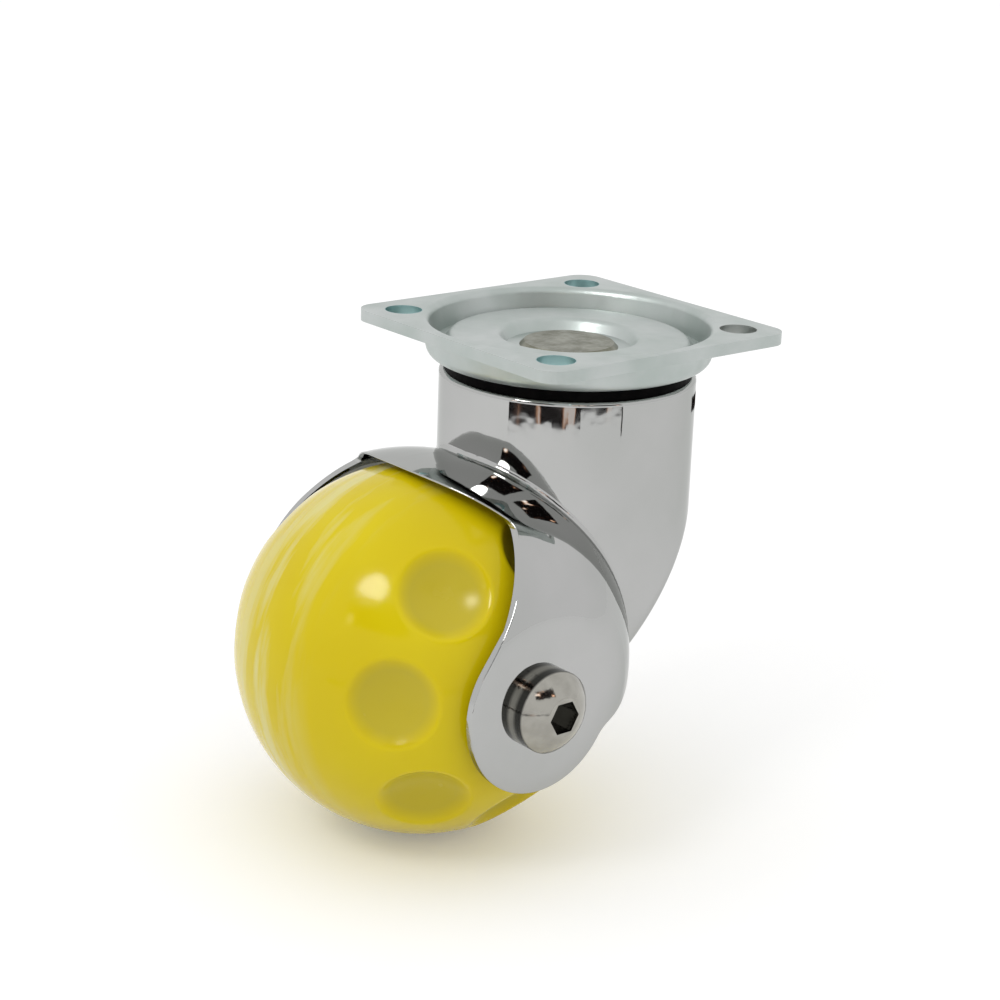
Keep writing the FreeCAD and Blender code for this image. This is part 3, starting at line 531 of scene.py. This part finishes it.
hub = [(seat_radius, ball_flat), (seat_radius, seat_floor), (HUB_BORE, seat_floor),
       (HUB_BORE, -seat_floor), (seat_radius, -seat_floor), (seat_radius, -ball_flat)]
ball_turns = [2 * math.pi * step / BALL_TURNS for step in range(BALL_TURNS)]
ball_points = []
for ring in range(BALL_RINGS + 1):
    latitude = flat_latitude * (2 * ring / BALL_RINGS - 1)
    for turn in ball_turns:
        out = tread_radius(latitude, turn)
        ball_points.append(round_the_axle(turn, out * math.cos(latitude), out * math.sin(latitude)))
for hub_radius, hub_side in hub:
    ball_points.extend(round_the_axle(turn, hub_radius, hub_side) for turn in ball_turns)
ring_count = BALL_RINGS + 1 + len(hub)
ball_faces = []
for ring in range(ring_count):
    here = ring * BALL_TURNS
    there = (ring + 1) % ring_count * BALL_TURNS
    for step in range(BALL_TURNS):
        after = (step + 1) % BALL_TURNS
        ball_faces.append((here + step, there + step, there + after, here + after))
moulding = add_mesh("ball_moulding", ball_points, ball_faces)
moulding.data.polygons.foreach_set("use_smooth", [True] * len(ball_faces))
moulding.data.set_sharp_from_angle(angle=BALL_EDGE)
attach(moulding, "wheel")
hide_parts("ball")

YELLOW = (0.69, 0.555, 0.004)
DEEP_YELLOW = (0.66, 0.515, 0.003)
YELLOW_SCALE = 0.06
YELLOW_DETAIL = 2.0
CREAM = (0.71, 0.665, 0.30)
WISP_STRETCH = (0.05, 0.35, 0.05)
WISP_SCALE = 1.0
WISP_DETAIL = 6.0
WISP_SPAN = (0.46, 0.61)
WISP_MIDDLE_MM = 3.0
WISP_REACH_MM = 11.0
WISP_SHARE = 0.80
# Painted shade: the dimples' bowls are coloured a darker mustard than the tread.
DIMPLE_PAINTED_SHADE = (0.56, 0.455, 0.028)
MUSTARD_FROM_MM = 0.1
MUSTARD_FULL_MM = 1.4
URETHANE_IOR = 1.5
URETHANE_SHEEN = 0.2
GLOW_SHARE = 0.2
GLOW_RADIUS = (1.0, 0.8, 0.1)
GLOW_DEPTH = 0.003
BALL_GLOSS_SCALE = 0.3
BALL_SMOOTH = 0.09
BALL_ROUGH = 0.14
DIMPLE_DULL = 0.14


def vector_maths(tree, operation, first, second=(0.0, 0.0, 0.0)):
    """One sum on two vectors: its Vector, or its Value where it is a length."""
    node = tree.nodes.new("ShaderNodeVectorMath")
    node.operation = operation
    put(tree, node.inputs[0], first)
    put(tree, node.inputs[1], second)
    return node.outputs


def from_ball_centre(tree):
    """The place on the part from the middle of the ball, in millimetres."""
    return vector_maths(tree, "SUBTRACT", position_mm(tree), tuple(MM_PER_METRE * ball_centre))["Vector"]


urethane, tree, output = new_material("yellow_urethane")
urethane_skin = tree.nodes.new("ShaderNodeBsdfPrincipled")
put(tree, urethane_skin.inputs["IOR"], URETHANE_IOR)
put(tree, urethane_skin.inputs["Specular IOR Level"], URETHANE_SHEEN)
put(tree, urethane_skin.inputs["Subsurface Weight"], GLOW_SHARE)
put(tree, urethane_skin.inputs["Subsurface Radius"], GLOW_RADIUS)
put(tree, urethane_skin.inputs["Subsurface Scale"], GLOW_DEPTH)
from_centre = from_ball_centre(tree)
along_axle = parts_of(tree, from_centre)["Y"]
from_middle = maths(tree, "ABSOLUTE", maths(tree, "SUBTRACT", along_axle, WISP_MIDDLE_MM))
near_middle = span(tree, from_middle, 0.0, WISP_REACH_MM, WISP_SHARE, 0.0)
stretched = vector_maths(tree, "MULTIPLY", from_centre, WISP_STRETCH)["Vector"]
wisps = span(tree, noise(tree, stretched, WISP_SCALE, WISP_DETAIL), *WISP_SPAN, 0.0, 1.0)
cloud = span(tree, noise(tree, from_centre, YELLOW_SCALE, YELLOW_DETAIL), *CLOUD_SPAN, 0.0, 1.0)
body = mix(tree, cloud, DEEP_YELLOW, YELLOW)
body = mix(tree, maths(tree, "MULTIPLY", near_middle, wisps), body, CREAM)
tread_mm = MM_PER_METRE * ball_radius
flat_mm = MM_PER_METRE * ball_flat
out_from_centre = vector_maths(tree, "LENGTH", from_centre)["Value"]
sunk = span(tree, out_from_centre, tread_mm - MUSTARD_FULL_MM, tread_mm - MUSTARD_FROM_MM, 1.0, 0.0)
off_flat = maths(tree, "LESS_THAN", maths(tree, "ABSOLUTE", along_axle), flat_mm - MUSTARD_FROM_MM)
in_dimple = maths(tree, "MULTIPLY", sunk, off_flat)
# The dimples get the darker mustard as painted shade.
put(tree, urethane_skin.inputs["Base Color"], mix(tree, in_dimple, body, DIMPLE_PAINTED_SHADE))
gloss_cloud = noise(tree, from_centre, BALL_GLOSS_SCALE)
gloss = span(tree, gloss_cloud, *GLOSS_SPAN, BALL_SMOOTH, BALL_ROUGH)
dimple_gloss = maths(tree, "MULTIPLY", in_dimple, DIMPLE_DULL)
put(tree, urethane_skin.inputs["Roughness"], maths(tree, "ADD", gloss, dimple_gloss))
put(tree, output.inputs["Surface"], urethane_skin.outputs[0])
moulding.data.materials.append(urethane)


# Axle screws: M6 button heads with a hexagon socket, one into each end of the axle tube.
# Nickel plated, so warmer than the chrome. A painted dark reflection lies on the rim round the head, and
# painted shade in the socket.
NICKEL_DARK = (0.31, 0.30, 0.27)
NICKEL_LIGHT = (0.38, 0.37, 0.335)
SCREW_PAINTED_DARK = (0.06, 0.06, 0.055)
SCREW_RIM_MM = 0.15
SCREW_RIM_DROP_MM = (3.1, 3.7)
SOCKET_RADIUS_MM = 2.36
SOCKET_DROP_MM = 0.10
SOCKET_SHADE_SHARE = 0.7
ACROSS_AXLE = (1.0, 0.0, 1.0)

nickel, tree, nickel_skin, nickel_colour = mottled(
    "nickel_plating", 1.0, cloud_scale=0.4, dark=NICKEL_DARK, light=NICKEL_LIGHT, smooth=0.09, rough=0.16,
    relief_scale=1.2, relief_depth=0.00002)
screw_low, screw_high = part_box("right_axle_screw")
rim_radius = MM_PER_METRE * (screw_high.x - screw_low.x) / 2
screw_face = -MM_PER_METRE * screw_low.y
from_axle = from_ball_centre(tree)
flattened = vector_maths(tree, "MULTIPLY", from_axle, ACROSS_AXLE)["Vector"]
head_radius = vector_maths(tree, "LENGTH", flattened)["Value"]
on_rim = span(tree, head_radius, rim_radius - SCREW_RIM_MM, rim_radius, 0.0, 1.0)
below_face = maths(tree, "SUBTRACT", screw_face, maths(tree, "ABSOLUTE", parts_of(tree, from_axle)["Y"]))
at_dome = span(tree, below_face, *SCREW_RIM_DROP_MM, 1.0, 0.0)
in_socket = maths(tree, "MULTIPLY", maths(tree, "LESS_THAN", head_radius, SOCKET_RADIUS_MM),
                  maths(tree, "GREATER_THAN", below_face, SOCKET_DROP_MM))
# Painted dark reflection on the head's rim, and painted shade down in the socket.
painted_dark_and_shade = maths(tree, "MAXIMUM", maths(tree, "MULTIPLY", on_rim, at_dome),
               maths(tree, "MULTIPLY", in_socket, SOCKET_SHADE_SHARE))
put(tree, nickel_skin.inputs["Base Color"], mix(tree, painted_dark_and_shade, nickel_colour, SCREW_PAINTED_DARK))
wear(nickel, "right_axle_screw", "left_axle_screw")


# Axle: a steel tube through the ball, with a spacer, washers and two small shielded ball bearings on it.
# Bright turned steel and pressed sheet, all inside the ball.
AXLE_DARK = (0.50, 0.50, 0.51)
AXLE_LIGHT = (0.60, 0.60, 0.61)
BEARING_PARTS = ("axle_washer", "inner_ring", "outer_ring", "bearing_balls", "cage", "outer_shield",
                 "inner_shield")

axle_steel = mottled(
    "axle_steel", 1.0, cloud_scale=0.8, dark=AXLE_DARK, light=AXLE_LIGHT, smooth=0.22, rough=0.34,
    relief_scale=3.0, relief_depth=0.00001)[0]
wear(axle_steel, "axle_tube", "bearing_spacer")
for side in ("right", "left"):
    for part in BEARING_PARTS:
        wear(axle_steel, f"{side}_{part}")
